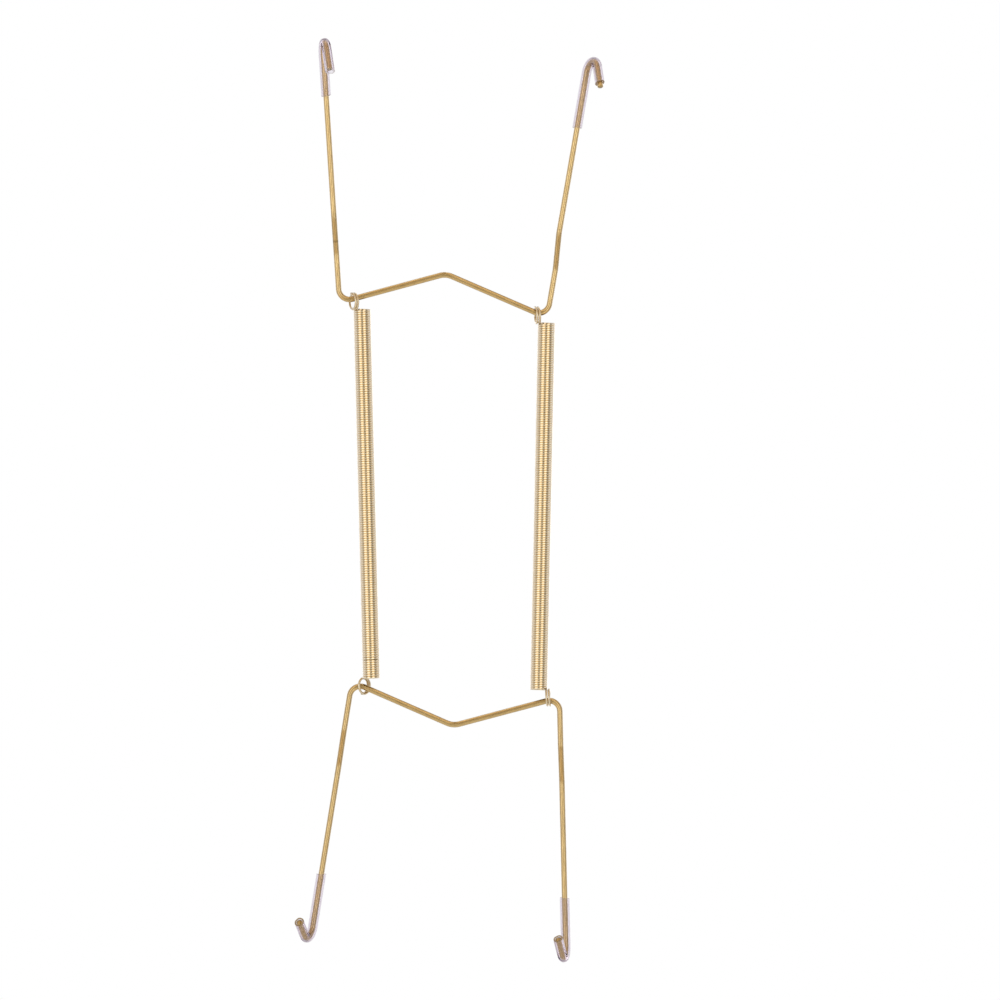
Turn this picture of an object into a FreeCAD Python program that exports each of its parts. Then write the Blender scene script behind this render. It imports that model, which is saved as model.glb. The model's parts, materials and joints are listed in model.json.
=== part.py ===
# Wire plate hanger: two bent-wire yokes held together by two extension springs.
# Millimetres and degrees. +Z is up, -Y is the front where the hooks curl, +X is right.
# The origin is the hanging point, under the wire at the upper yoke's apex.
import FreeCAD, Part
import math
import os
from collections import namedtuple
from FreeCAD import Placement, Rotation, Vector

# Yoke wire
YOKE_WIRE = 1.5
LEG_LENGTH = 29.0
LEG_SLOPE = 19.2
APEX_RADIUS = 5.0
SHOULDER_RADIUS = 2.85

# Yoke arms: from the shoulder corner up to the crown of the hook
ARM_LENGTH = 68.3
JOG_START = 13.0
JOG_RUN = 9.3
JOG_STEP = 3.0
JOG_RADIUS = 4.0
HOOK_RADIUS = 3.1
HOOK_LIP = 6.2

# Sleeves over the hooks
SLEEVE_LENGTH = 26.4
SLEEVE_WALL = 0.44
SLEEVE_CLEARANCE = 0.08

# Springs
SPRING_WIRE = 0.61
COIL_DIAMETER = 4.7
COIL_LENGTH = 96.9
RIDGE_TURNS = 3
RIDGE_DEPTH = 0.3
LOOP_SWEEP = 550.0
LOOP_STEP = 32.0
LOOP_GAP = 0.08
LOOP_CLEARANCE = 0.1

# Flats around each round section, which keep the model light
YOKE_FLATS = 8
SLEEVE_FLATS = 8
SPRING_FLATS = 8

# How the yokes hang
UPPER_TILT = 4.15
LOWER_TILT = 4.35
LOWER_SHIFT = 1.85

# The wire is bent by hand over a jig, so each arm has its own angles.
# splay: lean of the arm away from the yoke's axis
# jog_turn, hook_turn: turn of the jog and the hook about the arm, outward from straight ahead
# hook_open: how far the hook falls short of a half turn
# bare_tip: wire left bare beyond the sleeve, or the sleeve's overhang where negative
# sleeve_extra: how much longer than the others its sleeve was cut
# seat: place of the spring's loop, along the wire from the start of the shoulder bend
# loop_side: direction from the spring's axis to its loop, counted from +X towards the back
Arm = namedtuple(
    "Arm", "splay jog_turn hook_turn hook_open bare_tip sleeve_extra seat loop_side")
ARMS = {
    "upper_left": Arm(7.85, 0.0, -9.5, 28.0, -0.6, -0.65, -0.28, 208.0),
    "upper_right": Arm(5.6, -13.0, 27.0, 36.0, 1.2, 1.1, 0.68, 193.0),
    "lower_left": Arm(4.8, -2.0, 21.5, 57.0, 0.0, 0.45, 0.26, 141.0),
    "lower_right": Arm(5.7, 2.0, -11.5, 48.0, -0.2, -0.4, 0.6, 354.0),
}

SEAT_TOLERANCE = 0.0001
UP = Vector(0, 0, 1)
FRONT = Vector(0, -1, 0)
RIGHT = Vector(1, 0, 0)
WIRE_RADIUS = YOKE_WIRE / 2
SPRING_WIRE_RADIUS = SPRING_WIRE / 2
COIL_RADIUS = (COIL_DIAMETER - SPRING_WIRE) / 2
LOOP_PITCH = SPRING_WIRE + LOOP_GAP
LOOP_WIDTH = LOOP_PITCH * LOOP_SWEEP / 360


def tangent_length(radius, degrees):
    """Length of straight wire that a bend takes up on each side of its corner."""
    return radius * math.tan(math.radians(degrees) / 2)


def towards(first, second, degrees):
    """The direction that lies some degrees from the first unit vector to the second."""
    angle = math.radians(degrees)
    return first * math.cos(angle) + second * math.sin(angle)


class WireBender:
    """A wire's centreline, made as a bender makes it: straight feeds and round bends."""

    def __init__(self, point, heading):
        self.point = point
        self.heading = heading
        self.edges = []

    def feed(self, length):
        end = self.point + self.heading * length
        self.edges.append(Part.LineSegment(self.point, end).toShape())
        self.point = end

    def ahead(self, radius, degrees, side):
        """Point and heading part of the way round a bend towards the unit vector side."""
        centre = self.point + side * radius
        point = centre - towards(side, -self.heading, degrees) * radius
        return point, towards(self.heading, side, degrees)

    def bend(self, radius, degrees, side):
        middle, _ = self.ahead(radius, degrees / 2, side)
        end, heading = self.ahead(radius, degrees, side)
        self.edges.append(Part.Arc(self.point, middle, end).toShape())
        self.point = end
        self.heading = heading


def round_section(radius, flats, centre, across, up):
    """A round section as a regular polygon of the circle's own area, one flat facing across."""
    count = round(flats)
    step = 360 / count
    corner_radius = radius * math.sqrt(math.radians(step) / math.sin(math.radians(step)))
    corners = [centre + towards(across, up, step * (i + 0.5)) * corner_radius for i in range(count)]
    return Part.makePolygon(corners + corners[:1])


def swept(edges, radius, flats, side):
    """A round bar along a chain of tangent edges, its section squared to one side at the start."""
    path = Part.Wire(Part.__sortEdges__(edges))
    first = path.OrderedEdges[0]
    heading = first.tangentAt(first.FirstParameter)
    start = path.OrderedVertexes[0].Point
    across = heading.cross(side).normalize()
    section = round_section(radius, flats, start, across, across.cross(heading))
    return path.makePipeShell([section], True, False)


def bend_half_yoke(arm, hand):
    """One half of a yoke, from the apex out to the hook's tip.

    The apex corner is at the origin, and hand is 1 for the yoke's right half and -1 for its
    left. Returns the wire's edges, the sleeve, and the spring seat as (point, wire around it).
    """
    leg = Vector(hand * math.cos(math.radians(LEG_SLOPE)), 0, -math.sin(math.radians(LEG_SLOPE)))
    above_leg = Vector(-hand * leg.z, 0, hand * leg.x)
    along = Vector(hand * math.sin(math.radians(arm.splay)), 0, math.cos(math.radians(arm.splay)))
    outward = Vector(hand * along.z, 0, -hand * along.x)
    shoulder_turn = 90 + LEG_SLOPE - arm.splay
    jog_turn = math.degrees(math.atan2(JOG_STEP, JOG_RUN))
    jog_side = towards(FRONT, outward, arm.jog_turn)
    hook_side = towards(FRONT, outward, arm.hook_turn)
    hook_curl = 180 - arm.hook_open
    shoulder_tangent = tangent_length(SHOULDER_RADIUS, shoulder_turn)
    jog_tangent = tangent_length(JOG_RADIUS, jog_turn)

    # Half of the apex bend, then the leg
    apex_drop = APEX_RADIUS * (1 / math.cos(math.radians(LEG_SLOPE)) - 1)
    wire = WireBender(Vector(0, 0, -apex_drop), Vector(hand, 0, 0))
    wire.bend(APEX_RADIUS, LEG_SLOPE, -UP)
    wire.feed(LEG_LENGTH - APEX_RADIUS * math.tan(math.radians(LEG_SLOPE)) - shoulder_tangent)

    # Shoulder, where the spring hangs
    if arm.seat > 0:
        seat, _ = wire.ahead(SHOULDER_RADIUS, math.degrees(arm.seat / SHOULDER_RADIUS), above_leg)
    else:
        seat = wire.point + wire.heading * arm.seat
    wire.bend(SHOULDER_RADIUS, shoulder_turn, above_leg)

    # Arm, with the jog that brings the hook forward
    wire.feed(JOG_START - shoulder_tangent - jog_tangent)
    around_seat = Part.Compound(wire.edges)
    wire.bend(JOG_RADIUS, jog_turn, jog_side)
    wire.feed(math.hypot(JOG_RUN, JOG_STEP) - 2 * jog_tangent)
    wire.bend(JOG_RADIUS, jog_turn, towards(-jog_side, along, jog_turn))
    wire.feed(ARM_LENGTH - HOOK_RADIUS - JOG_START - JOG_RUN - jog_tangent)

    # The sleeve covers the hook and part of the stem below it
    lip_covered = HOOK_LIP - arm.bare_tip
    sleeve_length = SLEEVE_LENGTH + arm.sleeve_extra
    stem_covered = sleeve_length - lip_covered - HOOK_RADIUS * math.radians(hook_curl)
    sleeve = WireBender(wire.point - along * stem_covered, along)
    sleeve.feed(stem_covered)
    sleeve.bend(HOOK_RADIUS, hook_curl, hook_side)
    sleeve.feed(lip_covered)

    # Hook
    wire.bend(HOOK_RADIUS, hook_curl, hook_side)
    wire.feed(HOOK_LIP)
    return wire.edges, make_sleeve(sleeve.edges, hook_side), (seat, around_seat)


def make_sleeve(edges, side):
    bore_radius = WIRE_RADIUS + SLEEVE_CLEARANCE
    outside = swept(edges, bore_radius + SLEEVE_WALL, SLEEVE_FLATS, side)
    return outside.cut(swept(edges, bore_radius, SLEEVE_FLATS, side))


def make_yoke(left_arm, right_arm):
    """Yoke wire, its sleeves and its spring seats, in the yoke's own frame, left side first."""
    left_wire, left_sleeve, left_seat = bend_half_yoke(left_arm, -1)
    right_wire, right_sleeve, right_seat = bend_half_yoke(right_arm, 1)
    wire = swept(left_wire + right_wire, WIRE_RADIUS, YOKE_FLATS, FRONT)
    return wire, [left_sleeve, right_sleeve], [left_seat, right_seat]


def placed(shape, placement):
    copy = shape.copy()
    copy.Placement = placement
    return copy


def placed_seat(seat, placement):
    point, around_seat = seat
    return placement.multVec(point), placed(around_seat, placement)


def radial(loop_side):
    angle = math.radians(loop_side)
    return Vector(math.cos(angle), math.sin(angle), 0)


def loop_places(rim, loop_side, up):
    """Points along a side loop, each with its direction away from the loop's middle.

    The loop leaves the coil at its rim and winds on beside itself in an upright plane; up is 1
    for a loop above the coil and -1 for one below.
    """
    outward = radial(loop_side)
    spoke = UP * -up
    middle = rim - spoke * COIL_RADIUS
    steps = round(LOOP_SWEEP / LOOP_STEP)
    places = []
    for step in range(steps + 1):
        share = step / steps
        away = towards(spoke, outward.cross(spoke), LOOP_SWEEP * share)
        places.append((middle + away * COIL_RADIUS + outward * (LOOP_WIDTH * share), away))
    return places


def hung_rim(seat, loop_side, up):
    """The coil's rim below or above a seat, where its wire passes into the loop that bears there.

    A loop that is turned or hangs on a bent wire meets it off its own middle, so its height is
    found by halving between a square seat and a loop centred on the wire.
    """
    point, around_seat = seat
    middle = point - radial(loop_side) * (LOOP_WIDTH / 2)
    contact = WIRE_RADIUS + SPRING_WIRE_RADIUS + LOOP_CLEARANCE
    low, high = contact, COIL_RADIUS
    while high - low > SEAT_TOLERANCE:
        rise = (low + high) / 2
        rim = middle - UP * (up * (2 * COIL_RADIUS - rise))
        loop = Part.makePolygon([place for place, _ in loop_places(rim, loop_side, up)])
        if loop.distToShape(around_seat)[0] < contact:
            low = rise
        else:
            high = rise
    return middle - UP * (up * (2 * COIL_RADIUS - high))


def make_loop(rim, loop_side, up):
    outward = radial(loop_side)
    sections = [round_section(SPRING_WIRE_RADIUS, SPRING_FLATS, place, outward, away)
                for place, away in loop_places(rim, loop_side, up)]
    return Part.makeLoft(sections, True, True)


def turned_in_flats(profile):
    """A closed profile of (radius, height) pairs, turned about the Z axis in flat faces."""
    rings = [round_section(radius, SPRING_FLATS, UP * height, RIGHT, FRONT).OrderedVertexes
             for radius, height in profile]
    faces = []
    for ring, following in zip(rings, rings[1:] + rings[:1]):
        for i in range(len(ring)):
            corners = [ring[i - 1], ring[i], following[i], following[i - 1], ring[i - 1]]
            faces.append(Part.Face(Part.makePolygon([corner.Point for corner in corners])))
    return Part.Solid(Part.Shell(faces))


def make_coil(bottom, top):
    """Close-wound coil as one ridged wall, in which a ridge stands for every few turns."""
    length = (top - bottom).Length
    inner = COIL_RADIUS - SPRING_WIRE_RADIUS
    crest = COIL_RADIUS + SPRING_WIRE_RADIUS
    ridges = round(length / (RIDGE_TURNS * SPRING_WIRE))
    pitch = length / ridges
    profile = [(inner, 0), (COIL_RADIUS, -SPRING_WIRE_RADIUS)]
    for ridge in range(ridges):
        profile.append((crest, ridge * pitch))
        profile.append((crest - RIDGE_DEPTH, (ridge + 0.5) * pitch))
    profile += [(crest, length), (COIL_RADIUS, length + SPRING_WIRE_RADIUS), (inner, length)]
    return placed(turned_in_flats(profile), Placement(bottom, Rotation(UP, top - bottom)))


def make_spring(top_seat, top_side, bottom_seat, bottom_side):
    top = hung_rim(top_seat, top_side, 1)
    bottom = hung_rim(bottom_seat, bottom_side, -1)
    coil = make_coil(bottom - radial(bottom_side) * COIL_RADIUS, top - radial(top_side) * COIL_RADIUS)
    return coil.fuse([make_loop(top, top_side, 1), make_loop(bottom, bottom_side, -1)])


def upper_placement():
    """Turns the upper yoke to its tilt, with the underside of its apex bend at the origin."""
    turn = Rotation(Vector(0, 1, 0), UPPER_TILT)
    bend_centre = turn.multVec(Vector(0, 0, -APEX_RADIUS / math.cos(math.radians(LEG_SLOPE))))
    return Placement(-bend_centre - UP * (APEX_RADIUS - WIRE_RADIUS), turn)


def lower_placement(upper, upper_seats, lower_seats):
    """Turns the lower yoke upside down, a coil's length below the upper one.

    Seats are given left side first as the part hangs, the lower ones in their yoke's own frame.
    """
    turn = Rotation(Vector(0, 1, 0), 180 + LOWER_TILT)
    gaps = []
    for side, above, below in zip(("left", "right"), upper_seats, lower_seats):
        top = hung_rim(above, ARMS["upper_" + side].loop_side, 1)
        bottom_seat = placed_seat(below, Placement(Vector(), turn))
        gaps.append(top.z - hung_rim(bottom_seat, ARMS["lower_" + side].loop_side, -1).z)
    height = sum(gaps) / len(gaps) - COIL_LENGTH
    return Placement(Vector(upper.Base.x + LOWER_SHIFT, 0, height), turn)


def build():
    """Every node of the hanger by name, and the four spring seats."""
    upper_wire, upper_sleeves, upper_seats = make_yoke(ARMS["upper_left"], ARMS["upper_right"])
    upper = upper_placement()
    upper_seats = [placed_seat(seat, upper) for seat in upper_seats]

    # Upside down, the lower yoke's own left half is on the right
    lower_wire, lower_sleeves, lower_seats = make_yoke(ARMS["lower_right"], ARMS["lower_left"])
    lower_sleeves.reverse()
    lower_seats.reverse()
    lower = lower_placement(upper, upper_seats, lower_seats)
    lower_seats = [placed_seat(seat, lower) for seat in lower_seats]

    nodes = {"upper_yoke": placed(upper_wire, upper), "lower_yoke": placed(lower_wire, lower)}
    seats = {}
    for index, side in enumerate(("left", "right")):
        nodes["upper_" + side + "_sleeve"] = placed(upper_sleeves[index], upper)
        nodes["lower_" + side + "_sleeve"] = placed(lower_sleeves[index], lower)
        nodes[side + "_spring"] = make_spring(
            upper_seats[index], ARMS["upper_" + side].loop_side,
            lower_seats[index], ARMS["lower_" + side].loop_side)
        seats["upper_" + side] = upper_seats[index][0]
        seats["lower_" + side] = lower_seats[index][0]
    return nodes, seats


os.makedirs("parts", exist_ok=True)
NODES, SEATS = build()
for name, shape in NODES.items():
    shape.exportStep("parts/" + name + ".step")

# Each yoke swings about the line through its two seats
for name, point in SEATS.items():
    print(name, "spring seat at", [round(value, 3) for value in point])
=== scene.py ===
# Wire plate hanger dressed for its picture: round wire, wound springs and clear tubes.
# Lengths are in millimetres and angles in degrees where nothing else is said, and the wire is bent as
# in the solids.
import json
import math
from collections import namedtuple

import bpy
import numpy as np
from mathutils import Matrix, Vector


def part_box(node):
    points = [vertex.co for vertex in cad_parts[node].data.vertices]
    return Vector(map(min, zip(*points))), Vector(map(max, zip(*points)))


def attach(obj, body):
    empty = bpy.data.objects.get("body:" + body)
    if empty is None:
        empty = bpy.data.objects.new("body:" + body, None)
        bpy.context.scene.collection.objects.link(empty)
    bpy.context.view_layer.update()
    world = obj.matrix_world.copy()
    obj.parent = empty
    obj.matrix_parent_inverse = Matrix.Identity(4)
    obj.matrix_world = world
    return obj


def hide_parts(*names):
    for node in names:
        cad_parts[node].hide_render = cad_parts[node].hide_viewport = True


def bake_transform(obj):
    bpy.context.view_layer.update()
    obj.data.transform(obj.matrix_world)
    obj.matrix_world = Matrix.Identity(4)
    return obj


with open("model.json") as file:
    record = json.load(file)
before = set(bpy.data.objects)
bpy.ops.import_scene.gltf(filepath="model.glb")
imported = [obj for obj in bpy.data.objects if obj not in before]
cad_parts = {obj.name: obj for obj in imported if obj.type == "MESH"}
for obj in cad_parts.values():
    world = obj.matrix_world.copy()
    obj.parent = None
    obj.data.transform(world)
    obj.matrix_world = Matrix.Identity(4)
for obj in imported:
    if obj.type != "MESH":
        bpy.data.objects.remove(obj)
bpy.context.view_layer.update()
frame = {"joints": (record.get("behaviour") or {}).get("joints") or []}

MM = 0.001
UP = np.array((0.0, 0.0, 1.0))
FRONT = np.array((0.0, -1.0, 0.0))
SIDES = ("left", "right")

# Yoke wire
YOKE_RADIUS = 0.75
LEG_LENGTH = 29.0
LEG_SLOPE = 19.2
APEX_RADIUS = 5.0
SHOULDER_RADIUS = 2.85
ARM_LENGTH = 68.3
JOG_START = 13.0
JOG_RUN = 9.3
JOG_STEP = 3.0
JOG_RADIUS = 4.0
HOOK_RADIUS = 3.1
HOOK_LIP = 6.2

# Clear sleeves over the hooks
SLEEVE_LENGTH = 26.4
SLEEVE_CLEARANCE = 0.08
SLEEVE_WALL = 0.44
SLEEVE_BORE_RADIUS = YOKE_RADIUS + SLEEVE_CLEARANCE
SLEEVE_RADIUS = SLEEVE_BORE_RADIUS + SLEEVE_WALL

# Cuts of the sleeves: slant, depth and number of the waves round the edge, width of the frost, strength
# of its frost and painted shade at a hazy cut, and the direction of each sleeve's slant in radians
CUT_SLANT = 0.2
CUT_RAGGED = 0.05
CUT_WAVES = 5
CUT_FROST = 0.12
HAZY_CUT = 0.35
CUT_PHASES = {"upper_left": 2.0, "upper_right": 4.0, "lower_left": 4.0, "lower_right": 6.0}

# Springs; close-wound turns swell inwards until they meet, and one has sprung a little open
SPRING_RADIUS = 0.305
COIL_DIAMETER = 4.7
COIL_RADIUS = COIL_DIAMETER / 2 - SPRING_RADIUS
COIL_PITCH = 0.6135
TURN_SWELL = 0.025
TURN_WAVER = 0.006
SPRUNG_TURN = {"left": 8.0}
SPRUNG_GAP = 0.12
HALF_TURN = 0.5
LOOP_SWEEP = 550.0
LOOP_PITCH = 0.69
LOOP_WIDTH = LOOP_PITCH * LOOP_SWEEP / 360

# Each yoke's turn about the Y axis, and which of its halves hangs on which side
TILT = {"upper": 4.15, "lower": 184.35}
HAND = {"upper": {"left": -1, "right": 1}, "lower": {"left": 1, "right": -1}}

# The wire is bent by hand, so each arm has its own angles and lengths:
# lean of the arm, turn of the jog and of the hook about the arm, how far the hook falls short of
# a half turn, wire left bare beyond the sleeve, what the sleeve is longer than its usual length,
# place of the spring's loop along the wire from the start of the shoulder bend, and direction from
# the spring's axis to its loop
Arm = namedtuple("Arm", "splay jog_turn hook_turn hook_open bare_tip sleeve_extra seat loop_side")
ARMS = {
    "upper_left": Arm(7.85, 0.0, -9.5, 28.0, -0.6, -0.65, -0.28, 208.0),
    "upper_right": Arm(5.6, -13.0, 27.0, 36.0, 1.2, 1.1, 0.68, 193.0),
    "lower_left": Arm(4.8, -2.0, 21.5, 57.0, 0.0, 0.45, 0.26, 141.0),
    "lower_right": Arm(5.7, 2.0, -11.5, 48.0, -0.2, -0.4, 0.6, 354.0),
}

# Wear and painted shade of the wires, from 0 for bright to 1 for dull: least wear of each yoke, then
# painted shade of the legs, wear of the shoulder bends, painted shade of the jogs, wear of the cut ends
# and springs' loops, and how many points it fades over on each side
YOKE_WEAR = {"upper": 0.0, "lower": 0.2}
# Painted shade: the legs are darkened towards the dull colour and lose lacquer, for the dimmer light
# they catch
LEG_PAINTED_SHADE = 0.17
SHOULDER_WEAR = 0.15
# Painted shade: the jogs are darkened the same way, for the dimmer light their tilt catches
JOG_PAINTED_SHADE = 0.28
TIP_WEAR = 0.6
LOOP_WEAR = 0.25
WEAR_AND_SHADE_SPREAD = 5
# Height and wear of single marks across an arm
MARKS = {"upper_left": (9.7, 0.8), "lower_left": (-130.3, 0.4), "lower_right": (-126.9, 0.25)}

# Fineness of the meshes
FEED_STEP = 0.5
BEND_STEP = 4.0
LOOP_STEP = 8.0
YOKE_SIDES = 24
SLEEVE_SIDES = 48
SPRING_SIDES = 12
STEPS_PER_TURN = 30
YOKE_BEVEL = 0.06
SPRING_BEVEL = 0.05
SHARP_ANGLE = 50.0
# A direction that no wire starts along
ASKEW = (0.3, 0.8, 0.5)

# Finish of the brass: scale and stretch of its streaks and clouds, the noise values between which
# each comes in, how much the streaks deepen, roughen and dent it, and its lacquer when bright and when
# fully dulled by wear and painted shade
STREAK_SCALE = 5.0
STREAK_DETAIL = 3.0
STREAK_STRETCH = (1, 1, 0.06)
STREAK_RANGE = (0.45, 0.75)
STREAK_DEPTH = 0.6
STREAK_ROUGH_RANGE = (0.3, 0.7)
SMOOTHER = 0.06
ROUGHER = 0.1
STREAK_BUMP = 0.15
STREAK_DENT = 0.02 * MM
CLOUD_SCALE = 1.0
CLOUD_DETAIL = 4.0
CLOUD_STRETCH = (1, 1, 0.5)
CLOUD_RANGE = (0.35, 0.7)
LACQUER = (0.9, 0.2)
LACQUER_ROUGHNESS = 0.12

# Finish of the vinyl: its haze and two tints, the frosted colour of its cuts darkened with painted
# shade, and how clear it is in the wall and at a cut
HAZE_SCALE = 0.6
HAZE_DETAIL = 2.0
HAZE_STRETCH = (1, 1, 0.4)
HAZE_RANGE = (0.35, 0.65)
CLEAR_TINT = (0.955, 0.945, 0.985)
HAZY_TINT = (0.93, 0.92, 0.96)
# Painted shade: the cuts are a dark brown over their real frost, for the shade at the tube's ends
CUT_FROST_AND_SHADE_COLOUR = (0.30, 0.205, 0.11)
CLEARNESS = (0.97, 0.3)
VINYL_IOR = 1.05
SMOKE_COLOUR = (0.42, 0.26, 0.35)
SMOKE_DENSITY = 300

# Places of the colour sockets on a mix node
MIX_INPUTS = (6, 7)
MIX_OUTPUT = 2

# Camera, floor and studio, in metres apart from the camera's sensor
VIEW_CENTRE = Vector((14.604, 0, -58.475)) * MM
VIEW_WIDTH = 263.16 * MM
CAMERA_DISTANCE = 6.0
SENSOR = 36.0
FLOOR_HEIGHT = -340.0 * MM
FLOOR_RADIUS = 0.5
FLOOR_SIDES = 96
FLOOR_COLOUR = (0.9, 0.9, 0.9)
FLOOR_FADE = (0.5 * FLOOR_RADIUS, 0.98 * FLOOR_RADIUS)
AMBIENT = (0.8, 0.8, 0.8)
WHITE = (1, 1, 1)
# Strip lights and the dark gaps between them: angle at which a wire mirrors them, and strength
STRIPS = (
    (-78, 0.4), (-66, 0.7), (-52, 1.05), (-42, 1.1), (-35, 0.55), (-31, 0.45), (-26, 1.4), (-20, 2.1),
    (-13, 2.0), (-7, 0.9), (-2.5, 0.3), (1, 0.3), (5, 1.1), (9.5, 2.0), (14, 2.2), (19, 1.6), (24, 0.5),
    (28, 0.25), (33, 0.5), (42, 1.15), (52, 1.05), (66, 0.7), (78, 0.4),
)
# The studio is cooler than white to the sides, and warm and dim above and below
SIDE_TINT = np.array((0.84, 0.86, 1.0))
SIDE_ANGLE = 45
ABOVE_AND_BELOW = (0.72, 0.60, 0.46)
LIFT_RANGE = (0.3, 0.9)
# Just over 1, so that a direction straight behind still has an angle
REACH = 1.02
# How far behind a direction points where the studio before the object gives way to the one behind it
BEHIND_RANGE = (0.68, 0.88)


def tangent_length(radius, degrees):
    return radius * math.tan(math.radians(degrees) / 2)


def towards(first, second, degrees):
    """The direction that lies some degrees from the first unit vector to the second."""
    angle = math.radians(degrees)
    return first * math.cos(angle) + second * math.sin(angle)


def shares(count):
    """Even shares of a run, the last one being 1."""
    count = max(1, math.ceil(count))
    return np.arange(1, count + 1) / count


class WirePath:
    """A wire's centreline as points with their wear and painted shade, made of straight feeds and round
    bends.
    """

    def __init__(self, point, heading):
        self.points = [point]
        self.wear = [0.0]
        self.heading = heading

    def feed(self, length, wear=0.0):
        start = self.points[-1]
        for share in shares(length / FEED_STEP):
            self.points.append(start + self.heading * length * share)
            self.wear.append(wear)

    def bend(self, radius, degrees, side, wear=0.0):
        start = self.points[-1]
        heading = self.heading
        for share in shares(degrees / BEND_STEP):
            spoke = towards(side, -heading, degrees * share)
            self.points.append(start + (side - spoke) * radius)
            self.wear.append(wear)
        self.heading = towards(heading, side, degrees)


def bend_half_yoke(arm, hand):
    """Half a yoke from its apex to the hook's tip, as (wire path, sleeve path, spring seat)."""
    leg_slope, splay = math.radians(LEG_SLOPE), math.radians(arm.splay)
    leg = np.array((hand * math.cos(leg_slope), 0, -math.sin(leg_slope)))
    above_leg = np.array((-hand * leg[2], 0, hand * leg[0]))
    along = np.array((hand * math.sin(splay), 0, math.cos(splay)))
    outward = np.array((hand * along[2], 0, -hand * along[0]))
    shoulder_turn = 90 + LEG_SLOPE - arm.splay
    shoulder_tangent = tangent_length(SHOULDER_RADIUS, shoulder_turn)
    jog_turn = math.degrees(math.atan2(JOG_STEP, JOG_RUN))
    jog_tangent = tangent_length(JOG_RADIUS, jog_turn)
    jog_side = towards(FRONT, outward, arm.jog_turn)
    hook_side = towards(FRONT, outward, arm.hook_turn)
    hook_curl = 180 - arm.hook_open

    apex_drop = APEX_RADIUS * (1 / math.cos(leg_slope) - 1)
    wire = WirePath(UP * -apex_drop, np.array((hand, 0.0, 0.0)))
    # Painted shade darkens the apex bend and the legs
    wire.bend(APEX_RADIUS, LEG_SLOPE, -UP, LEG_PAINTED_SHADE)
    wire.feed(LEG_LENGTH - APEX_RADIUS * math.tan(leg_slope) - shoulder_tangent, LEG_PAINTED_SHADE)

    shoulder = WirePath(wire.points[-1], wire.heading)
    if arm.seat > 0:
        shoulder.bend(SHOULDER_RADIUS, math.degrees(arm.seat / SHOULDER_RADIUS), above_leg)
    else:
        shoulder.points.append(shoulder.points[-1] + shoulder.heading * arm.seat)
    seat = shoulder.points[-1]

    wire.bend(SHOULDER_RADIUS, shoulder_turn, above_leg, SHOULDER_WEAR)
    wire.feed(JOG_START - shoulder_tangent - jog_tangent)
    # Painted shade darkens the jog
    wire.bend(JOG_RADIUS, jog_turn, jog_side, JOG_PAINTED_SHADE)
    wire.feed(math.hypot(JOG_RUN, JOG_STEP) - 2 * jog_tangent, JOG_PAINTED_SHADE)
    wire.bend(JOG_RADIUS, jog_turn, towards(-jog_side, along, jog_turn), JOG_PAINTED_SHADE)
    wire.feed(ARM_LENGTH - HOOK_RADIUS - JOG_START - JOG_RUN - jog_tangent)

    lip_covered = HOOK_LIP - arm.bare_tip
    hook_covered = lip_covered + HOOK_RADIUS * math.radians(hook_curl)
    stem_covered = SLEEVE_LENGTH + arm.sleeve_extra - hook_covered
    sleeve = WirePath(wire.points[-1] - along * stem_covered, along)
    sleeve.feed(stem_covered)
    for path, lip in ((wire, HOOK_LIP), (sleeve, lip_covered)):
        path.bend(HOOK_RADIUS, hook_curl, hook_side)
        path.feed(lip)
    return wire, sleeve, seat


def turned(points, degrees):
    """Points turned about the Y axis."""
    cosine, sine = math.cos(math.radians(degrees)), math.sin(math.radians(degrees))
    return np.array(points) @ np.array(((cosine, 0, -sine), (0, 1, 0), (sine, 0, cosine)))


def carried_frames(points):
    """Heading and two cross directions at each point of a path, carried along it without twist."""
    headings = np.gradient(points, axis=0)
    headings /= np.linalg.norm(headings, axis=1)[:, None]
    across = np.cross(headings[0], ASKEW)
    firsts = []
    for heading in headings:
        across = across - heading * (across @ heading)
        across = across / np.linalg.norm(across)
        firsts.append(across)
    firsts = np.array(firsts)
    return headings, firsts, np.cross(headings, firsts)


def rings_along(points, radii, sides):
    """Rings of points around a path, and the grain of each: its angle and length along the wire."""
    _, firsts, seconds = carried_frames(points)
    angles = np.arange(sides) * 2 * math.pi / sides
    spokes = firsts[:, None] * np.cos(angles)[:, None] + seconds[:, None] * np.sin(angles)[:, None]
    rings = points[:, None] + spokes * np.broadcast_to(radii, len(points))[:, None, None]
    lengths = np.append(0, np.cumsum(np.linalg.norm(np.diff(points, axis=0), axis=1)))
    grain = np.empty_like(rings)
    grain[..., 0] = np.cos(angles)
    grain[..., 1] = np.sin(angles)
    grain[..., 2] = lengths[:, None]
    return rings, grain


def skin(rings_count, sides, closed):
    """Quads between neighbouring rings, and from the last to the first where closed."""
    ring = np.arange(rings_count if closed else rings_count - 1)[:, None]
    side = np.arange(sides)
    after, beside = (ring + 1) % rings_count, (side + 1) % sides
    corners = (ring * sides + side, ring * sides + beside, after * sides + beside, after * sides + side)
    return np.stack(corners, axis=-1).reshape(-1, 4).tolist()


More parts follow.
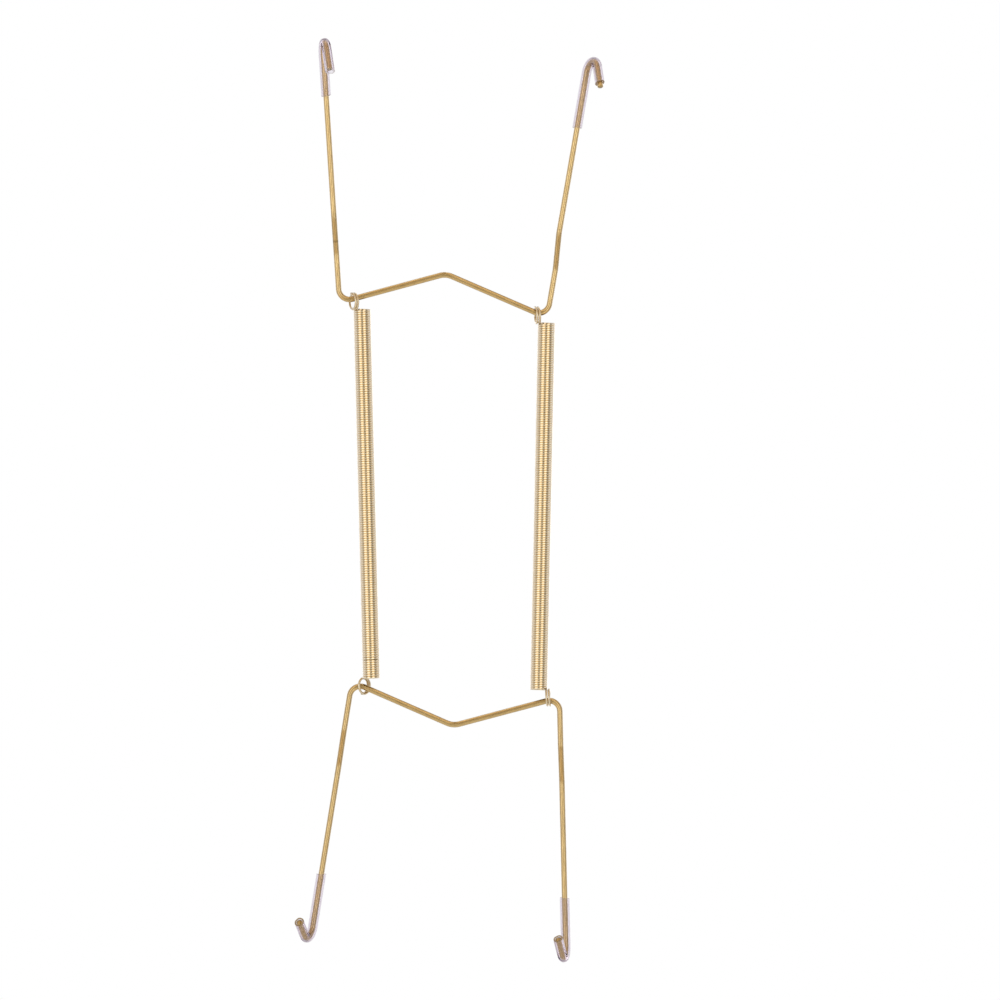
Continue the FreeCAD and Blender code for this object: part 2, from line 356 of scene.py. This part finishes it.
def make_piece(name, rings, grain, faces, wear, material):
    """A smooth mesh in metres, with the grain and the values of wear, frost and painted shade that its
    material reads.
    """
    mesh = bpy.data.meshes.new(name)
    mesh.from_pydata((rings.reshape(-1, 3) * MM).tolist(), [], faces)
    mesh.shade_smooth()
    mesh.set_sharp_from_angle(angle=math.radians(SHARP_ANGLE))
    grain_layer = mesh.attributes.new("grain", "FLOAT_VECTOR", "POINT")
    grain_layer.data.foreach_set("vector", grain.astype(np.float32).ravel())
    wear_and_shade_layer = mesh.attributes.new("wear", "FLOAT", "POINT")
    wear_and_shade_layer.data.foreach_set("value", np.repeat(wear, rings.shape[1]).astype(np.float32))
    mesh.materials.append(material)
    piece = bpy.data.objects.new(name, mesh)
    bpy.context.scene.collection.objects.link(piece)
    return piece


def with_end_rings(points, inset):
    """A path with one more point close to each end."""
    headings, _, _ = carried_frames(points)
    inner_start, inner_end = points[0] + headings[0] * inset, points[-1] - headings[-1] * inset
    return np.concatenate((points[:1], [inner_start], points[1:-1], [inner_end], points[-1:]))


def make_wire(name, points, wear, radii, sides, bevel, material):
    """A round wire with bevelled flat ends, which adds a ring at each end."""
    points = with_end_rings(points, bevel)
    wear = np.concatenate(([TIP_WEAR], wear, [TIP_WEAR]))
    radii = np.concatenate((radii[:1] - bevel, radii, radii[-1:] - bevel))
    rings, grain = rings_along(points, radii, sides)
    faces = skin(len(points), sides, False)
    last = (len(points) - 1) * sides
    faces.append(list(range(sides))[::-1])
    faces.append(list(range(last, last + sides)))
    return make_piece(name, rings, grain, faces, wear, material)


def softened(wear):
    """Wear and painted shade that fade out over a few points instead of ending at a line."""
    window = np.hanning(2 * WEAR_AND_SHADE_SPREAD + 1)
    padded = np.pad(wear, WEAR_AND_SHADE_SPREAD, mode="edge")
    return np.convolve(padded, window / window.sum(), mode="valid")


def worn_and_shaded(points, wear, least, mark):
    """Softened wear and painted shade of half a yoke, with a least value and a single mark at some
    height.
    """
    wear = np.maximum(softened(wear), least)
    if mark:
        height, amount = mark
        wear[np.abs(points[:, 2] - height).argmin()] = amount
    return wear


def make_yoke_wire(level, halves, material):
    left, right = halves["left"], halves["right"]
    points = np.concatenate((left.wire[:0:-1], right.wire))
    wear = np.concatenate((left.wear[:0:-1], right.wear))
    radii = np.full(len(points), YOKE_RADIUS)
    node = level + "_yoke"
    piece = make_wire(node + "_wire", points, wear, radii, YOKE_SIDES, YOKE_BEVEL, material)
    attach(piece, node)
    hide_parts(node)


def cut_ring(ring, heading, phase):
    """An end ring cut slightly aslant and ragged, as with scissors."""
    angles = np.arange(len(ring)) * 2 * math.pi / len(ring)
    shift = CUT_SLANT * np.cos(angles + phase) + CUT_RAGGED * np.sin(CUT_WAVES * angles + 2 * phase)
    return ring + heading * shift[:, None]


def make_sleeve(level, side, points, material):
    """A soft tube: its outside from stem to tip, then its bore back again.

    Its cuts are frosted and darkened with painted shade, and the tip's more so where the wire fills it."""
    name = level + "_" + side
    phase = CUT_PHASES[name]
    points = with_end_rings(points, CUT_FROST)
    headings, _, _ = carried_frames(points)
    outside, grain = rings_along(points, SLEEVE_RADIUS, SLEEVE_SIDES)
    bore, _ = rings_along(points, SLEEVE_BORE_RADIUS, SLEEVE_SIDES)
    for wall in (outside, bore):
        for ring in (0, 1):
            wall[ring] = cut_ring(wall[ring], headings[0], phase)
            wall[-1 - ring] = cut_ring(wall[-1 - ring], headings[-1], phase + 1)
    overhang = -ARMS[name].bare_tip
    # Real frost with painted shade at the cuts, full at a tip that the wire end fills
    frost_and_shade = np.zeros(len(points))
    frost_and_shade[0] = HAZY_CUT
    frost_and_shade[-1] = 1 if overhang < SLEEVE_WALL else HAZY_CUT
    rings = np.concatenate((outside, bore[::-1]))
    grain = np.concatenate((grain, grain[::-1]))
    faces = skin(len(rings), SLEEVE_SIDES, True)
    node = name + "_sleeve"
    piece = make_piece(node + "_tube", rings, grain, faces, np.append(frost_and_shade, frost_and_shade[::-1]), material)
    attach(piece, level + "_yoke")
    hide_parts(node)


def outward_at(angle):
    return np.array((math.cos(angle), math.sin(angle), 0))


def loop_points(rim, angle, up):
    """Side loop from the coil's rim, up or down: a turn and a half that moves outward as it winds."""
    outward = outward_at(angle)
    heading = np.cross(UP, outward) * up
    turns = np.radians(LOOP_SWEEP) * shares(LOOP_SWEEP / LOOP_STEP)[:, None]
    circle = heading * np.sin(turns) + UP * up * (1 - np.cos(turns))
    return rim + COIL_RADIUS * circle + outward * LOOP_PITCH * turns / (2 * math.pi)


def make_spring(side, seats, material, seed):
    """A close-wound spring from its lower loop to its upper one."""
    node = side + "_spring"
    low, high = (np.array(corner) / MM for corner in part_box(node))
    reach = SPRING_RADIUS + 2 * COIL_RADIUS
    angles, rims = {}, {}
    for level, height in (("lower", low[2] + reach), ("upper", high[2] - reach)):
        name = level + "_" + side
        angles[level] = math.radians(ARMS[name].loop_side)
        rims[level] = seats[name] - outward_at(angles[level]) * LOOP_WIDTH / 2
        rims[level][2] = height
    bottom, top = rims["lower"], rims["upper"]

    part_turn = (angles["upper"] - angles["lower"]) / (2 * math.pi)
    turns = round((top[2] - bottom[2]) / COIL_PITCH - part_turn) + part_turn
    share = np.linspace(0, 1, round(turns * STEPS_PER_TURN) + 1)
    turn = share * turns
    around = angles["lower"] + turn * 2 * math.pi
    spokes = np.stack((np.cos(around), np.sin(around), np.zeros_like(around)), axis=1)
    waver = np.random.default_rng(seed).normal(0, TURN_WAVER, math.ceil(turns) + 1)
    waver[[0, -1]] = 0
    swell = TURN_SWELL * np.clip(np.minimum(turn, turns - turn), 0, 1)
    spoke_lengths = COIL_RADIUS - swell + np.interp(turn, np.arange(len(waver)), waver)
    from_gap = np.abs(turn - SPRUNG_TURN.get(side, math.inf))
    rise = 1 + SPRUNG_GAP / COIL_PITCH * (from_gap < HALF_TURN)
    climb = np.append(0, np.cumsum(rise[1:]))
    centres = [rim - spoke * COIL_RADIUS for rim, spoke in ((bottom, spokes[0]), (top, spokes[-1]))]
    coil = centres[0] + (centres[1] - centres[0]) * (climb / climb[-1])[:, None]
    coil += spokes * spoke_lengths[:, None]

    lower_loop = loop_points(bottom, angles["lower"], -1)[::-1]
    upper_loop = loop_points(top, angles["upper"], 1)
    points = np.concatenate((lower_loop, coil, upper_loop))
    loop_lengths = (len(lower_loop), len(upper_loop))
    wear = np.pad(np.zeros(len(coil)), loop_lengths, constant_values=LOOP_WEAR)
    radii = SPRING_RADIUS + np.pad(swell, loop_lengths)
    piece = make_wire(node + "_wire", points, wear, radii, SPRING_SIDES, SPRING_BEVEL, material)
    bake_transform(piece)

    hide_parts(node)


def new_material(name):
    material = bpy.data.materials.new(name)
    material.use_nodes = True
    return material, material.node_tree, material.node_tree.nodes["Principled BSDF"]


def noise(tree, vector, scale, detail, stretch):
    """Noise value along a vector output that is first stretched."""
    mapping = tree.nodes.new("ShaderNodeMapping")
    mapping.inputs["Scale"].default_value = stretch
    tree.links.new(vector, mapping.inputs["Vector"])
    texture = tree.nodes.new("ShaderNodeTexNoise")
    texture.inputs["Scale"].default_value = scale
    texture.inputs["Detail"].default_value = detail
    tree.links.new(mapping.outputs["Vector"], texture.inputs["Vector"])
    return texture.outputs["Fac"]


def ranged(tree, value, span, to_span=(0, 1)):
    """A value mapped from one range to another, held at both ends."""
    node = tree.nodes.new("ShaderNodeMapRange")
    for socket, number in zip(("From Min", "From Max", "To Min", "To Max"), (*span, *to_span)):
        node.inputs[socket].default_value = number
    tree.links.new(value, node.inputs["Value"])
    return node.outputs["Result"]


def maths(tree, operation, *values):
    """Result of a sum, quotient or such of values that are numbers or outputs."""
    node = tree.nodes.new("ShaderNodeMath")
    node.operation = operation
    for socket, value in zip(node.inputs, values):
        if isinstance(value, (int, float)):
            socket.default_value = value
        else:
            tree.links.new(value, socket)
    return node.outputs["Value"]


def mixed(tree, factor, first, second, blend="MIX"):
    """Mix of two colours, each a colour or an output."""
    node = tree.nodes.new("ShaderNodeMix")
    node.data_type = "RGBA"
    node.blend_type = blend
    tree.links.new(factor, node.inputs["Factor"])
    for index, colour in zip(MIX_INPUTS, (first, second)):
        if isinstance(colour, tuple):
            node.inputs[index].default_value = (*colour, 1)
        else:
            tree.links.new(colour, node.inputs[index])
    return node.outputs[MIX_OUTPUT]


def attribute(tree, name, output):
    node = tree.nodes.new("ShaderNodeAttribute")
    node.attribute_name = name
    return node.outputs[output]


def brass_wire(name, bright, deep, dull_and_shaded, roughness):
    """Lacquered brass wire: streaks along the wire, cloudy tarnish, and duller where it is worn and
    where shade is painted on.
    """
    material, tree, shader = new_material(name)
    grain = attribute(tree, "grain", "Vector")
    streaks = noise(tree, grain, STREAK_SCALE, STREAK_DETAIL, STREAK_STRETCH)
    clouds = noise(tree, grain, CLOUD_SCALE, CLOUD_DETAIL, CLOUD_STRETCH)
    # This value holds real wear and painted shade alike; the brass darkens and loses lacquer as it
    # rises
    wear = attribute(tree, "wear", "Fac")
    colour = mixed(tree, ranged(tree, clouds, CLOUD_RANGE), bright, deep)
    colour = mixed(tree, ranged(tree, streaks, STREAK_RANGE, (0, STREAK_DEPTH)), colour, deep)
    colour = mixed(tree, ranged(tree, wear, (0, 1)), colour, dull_and_shaded)
    tree.links.new(colour, shader.inputs["Base Color"])
    dullness = ranged(tree, streaks, STREAK_ROUGH_RANGE, (roughness - SMOOTHER, roughness + ROUGHER))
    tree.links.new(dullness, shader.inputs["Roughness"])
    bump = tree.nodes.new("ShaderNodeBump")
    bump.inputs["Strength"].default_value = STREAK_BUMP
    bump.inputs["Distance"].default_value = STREAK_DENT
    tree.links.new(streaks, bump.inputs["Height"])
    tree.links.new(bump.outputs["Normal"], shader.inputs["Normal"])
    shader.inputs["Metallic"].default_value = 1
    tree.links.new(ranged(tree, wear, (0, 1), LACQUER), shader.inputs["Coat Weight"])
    shader.inputs["Coat Roughness"].default_value = LACQUER_ROUGHNESS
    return material


def clear_vinyl(name):
    """Soft clear tube, smoky where one looks through more of it, and frosted where it is cut, with
    painted shade darkening the cuts.
    """
    material, tree, shader = new_material(name)
    haze = noise(tree, attribute(tree, "grain", "Vector"), HAZE_SCALE, HAZE_DETAIL, HAZE_STRETCH)
    frost_and_shade = attribute(tree, "wear", "Fac")
    tint = mixed(tree, ranged(tree, haze, HAZE_RANGE), CLEAR_TINT, HAZY_TINT)
    # The cuts' colour is frost darkened with painted shade
    tree.links.new(mixed(tree, frost_and_shade, tint, CUT_FROST_AND_SHADE_COLOUR), shader.inputs["Base Color"])
    tree.links.new(ranged(tree, frost_and_shade, (0, 1), CLEARNESS), shader.inputs["Transmission Weight"])
    shader.inputs["Roughness"].default_value = 0
    shader.inputs["IOR"].default_value = VINYL_IOR
    smoke = tree.nodes.new("ShaderNodeVolumeAbsorption")
    smoke.inputs["Color"].default_value = (*SMOKE_COLOUR, 1)
    smoke.inputs["Density"].default_value = SMOKE_DENSITY
    tree.links.new(smoke.outputs["Volume"], tree.nodes["Material Output"].inputs["Volume"])
    return material


def floor_paint(name):
    """Matt pale paint that fades out towards the floor's rim."""
    material, tree, shader = new_material(name)
    place = tree.nodes.new("ShaderNodeTexCoord").outputs["Object"]
    length = tree.nodes.new("ShaderNodeVectorMath")
    length.operation = "LENGTH"
    tree.links.new(place, length.inputs[0])
    tree.links.new(ranged(tree, length.outputs["Value"], FLOOR_FADE, (1, 0)), shader.inputs["Alpha"])
    shader.inputs["Base Color"].default_value = (*FLOOR_COLOUR, 1)
    shader.inputs["Roughness"].default_value = 1
    return material


def make_floor(material):
    angles = np.arange(FLOOR_SIDES) * 2 * math.pi / FLOOR_SIDES
    rim = np.stack((np.cos(angles), np.sin(angles), np.zeros_like(angles)), axis=1) * FLOOR_RADIUS
    mesh = bpy.data.meshes.new("floor")
    mesh.from_pydata(rim.tolist(), [], [list(range(len(rim)))])
    mesh.materials.append(material)
    floor = bpy.data.objects.new("floor", mesh)
    floor.location = (VIEW_CENTRE.x, 0, FLOOR_HEIGHT)
    bpy.context.scene.collection.objects.link(floor)


def direction(azimuth, elevation):
    """Unit vector from the object: azimuth 0 is towards the camera, and right is positive."""
    a, e = math.radians(azimuth), math.radians(elevation)
    return Vector((math.sin(a) * math.cos(e), -math.cos(a) * math.cos(e), math.sin(e)))


def add_camera():
    data = bpy.data.cameras.new("camera")
    data.sensor_width = SENSOR
    data.lens = SENSOR * CAMERA_DISTANCE / VIEW_WIDTH
    camera = bpy.data.objects.new("camera", data)
    camera.location = VIEW_CENTRE + direction(0, 0) * CAMERA_DISTANCE
    camera.rotation_euler = (math.radians(90), 0, 0)
    bpy.context.scene.collection.objects.link(camera)
    bpy.context.scene.camera = camera


def add_softbox(name, azimuth, elevation, distance, size, power):
    """Square lamp for the floor and the sleeves; the metal mirrors the strip lights instead."""
    data = bpy.data.lights.new(name, "AREA")
    data.size = size
    data.energy = power
    lamp = bpy.data.objects.new(name, data)
    away = direction(azimuth, elevation)
    lamp.location = VIEW_CENTRE + away * distance
    lamp.rotation_euler = (-away).to_track_quat("-Z", "Y").to_euler()
    lamp.visible_glossy = False
    lamp.visible_transmission = False
    bpy.context.scene.collection.objects.link(lamp)


def strip_lights(tree, across, ahead, height):
    """Colour of tall soft strip lights in a direction."""
    reach = maths(tree, "ADD", ahead, REACH)
    angle = maths(tree, "ARCTANGENT", maths(tree, "DIVIDE", across, reach))
    ramp = tree.nodes.new("ShaderNodeValToRGB")
    ramp.color_ramp.interpolation = "EASE"
    elements = ramp.color_ramp.elements
    ready_made = len(elements)
    for index, (degrees, strength) in enumerate(STRIPS):
        place = degrees / 180 + 0.5
        element = elements[index] if index < ready_made else elements.new(place)
        element.position = place
        tint = 1 + (SIDE_TINT - 1) * min(1, abs(degrees) / SIDE_ANGLE)
        element.color = (*(strength * tint), 1)
    tree.links.new(ranged(tree, angle, (-math.pi / 2, math.pi / 2)), ramp.inputs["Fac"])
    lift = maths(tree, "ABSOLUTE", maths(tree, "MULTIPLY", height, reach))
    lifted = ranged(tree, lift, LIFT_RANGE)
    return mixed(tree, lifted, ramp.outputs["Color"], ABOVE_AND_BELOW, "MULTIPLY")


def set_world():
    """White for the eye and through the sleeves, strip lights for the metal, and a plain ambient."""
    world = bpy.data.worlds.new("studio")
    world.use_nodes = True
    bpy.context.scene.world = world
    tree = world.node_tree
    place = tree.nodes.new("ShaderNodeSeparateXYZ")
    tree.links.new(tree.nodes.new("ShaderNodeTexCoord").outputs["Generated"], place.inputs["Vector"])
    across, behind, height = place.outputs
    ahead = maths(tree, "MULTIPLY", behind, -1)
    # The studio behind the object is like the one before it
    before_it = strip_lights(tree, across, ahead, height)
    behind_it = strip_lights(tree, across, maths(tree, "ABSOLUTE", behind), height)
    studio = mixed(tree, ranged(tree, behind, BEHIND_RANGE), before_it, behind_it)

    # A ray that only went through a sleeve is glossy too, but was mirrored by nothing
    rays = tree.nodes.new("ShaderNodeLightPath").outputs
    clear_view = maths(tree, "MAXIMUM", rays["Is Camera Ray"], rays["Is Transmission Ray"])
    mirrored = maths(tree, "MINIMUM", rays["Is Glossy Ray"], rays["Glossy Depth"])
    plain = mixed(tree, clear_view, AMBIENT, WHITE)
    background = tree.nodes["Background"]
    tree.links.new(mixed(tree, mirrored, plain, studio), background.inputs["Color"])
    background.inputs["Strength"].default_value = 1


yoke_brass = brass_wire(
    "yoke_brass",
    bright=(0.69, 0.49, 0.20),
    deep=(0.59, 0.40, 0.15),
    dull_and_shaded=(0.23, 0.155, 0.06),
    roughness=0.30,
)
spring_brass = brass_wire(
    "spring_brass",
    bright=(0.85, 0.72, 0.48),
    deep=(0.78, 0.64, 0.40),
    dull_and_shaded=(0.30, 0.21, 0.10),
    roughness=0.18,
)
vinyl = clear_vinyl("clear_vinyl")

Half = namedtuple("Half", "wire wear sleeve")
places = {joint["name"]: np.array(joint.get("pos_m", (0, 0, 0))) / MM for joint in frame["joints"]}
seats = {}
for level, tilt in TILT.items():
    paths = {side: bend_half_yoke(ARMS[level + "_" + side], HAND[level][side]) for side in SIDES}
    # Each yoke's swing joint is at its left seat
    _, _, left_seat = paths["left"]
    offset = places[level + "_swing"] - turned(left_seat, tilt)
    halves = {}
    for side, (wire, sleeve, seat) in paths.items():
        name = level + "_" + side
        seats[name] = turned(seat, tilt) + offset
        points = turned(wire.points, tilt) + offset
        wear = worn_and_shaded(points, wire.wear, YOKE_WEAR[level], MARKS.get(name))
        halves[side] = Half(points, wear, turned(sleeve.points, tilt) + offset)
    make_yoke_wire(level, halves, yoke_brass)
    for side in SIDES:
        make_sleeve(level, side, halves[side].sleeve, vinyl)
for index, side in enumerate(SIDES):
    make_spring(side, seats, spring_brass, seed=index + 1)

add_camera()
make_floor(floor_paint("floor_paint"))
add_softbox("soft_lamp", azimuth=-35, elevation=60, distance=0.9, size=0.5, power=3.0)
set_world()
bpy.context.scene.view_settings.view_transform = "Standard"
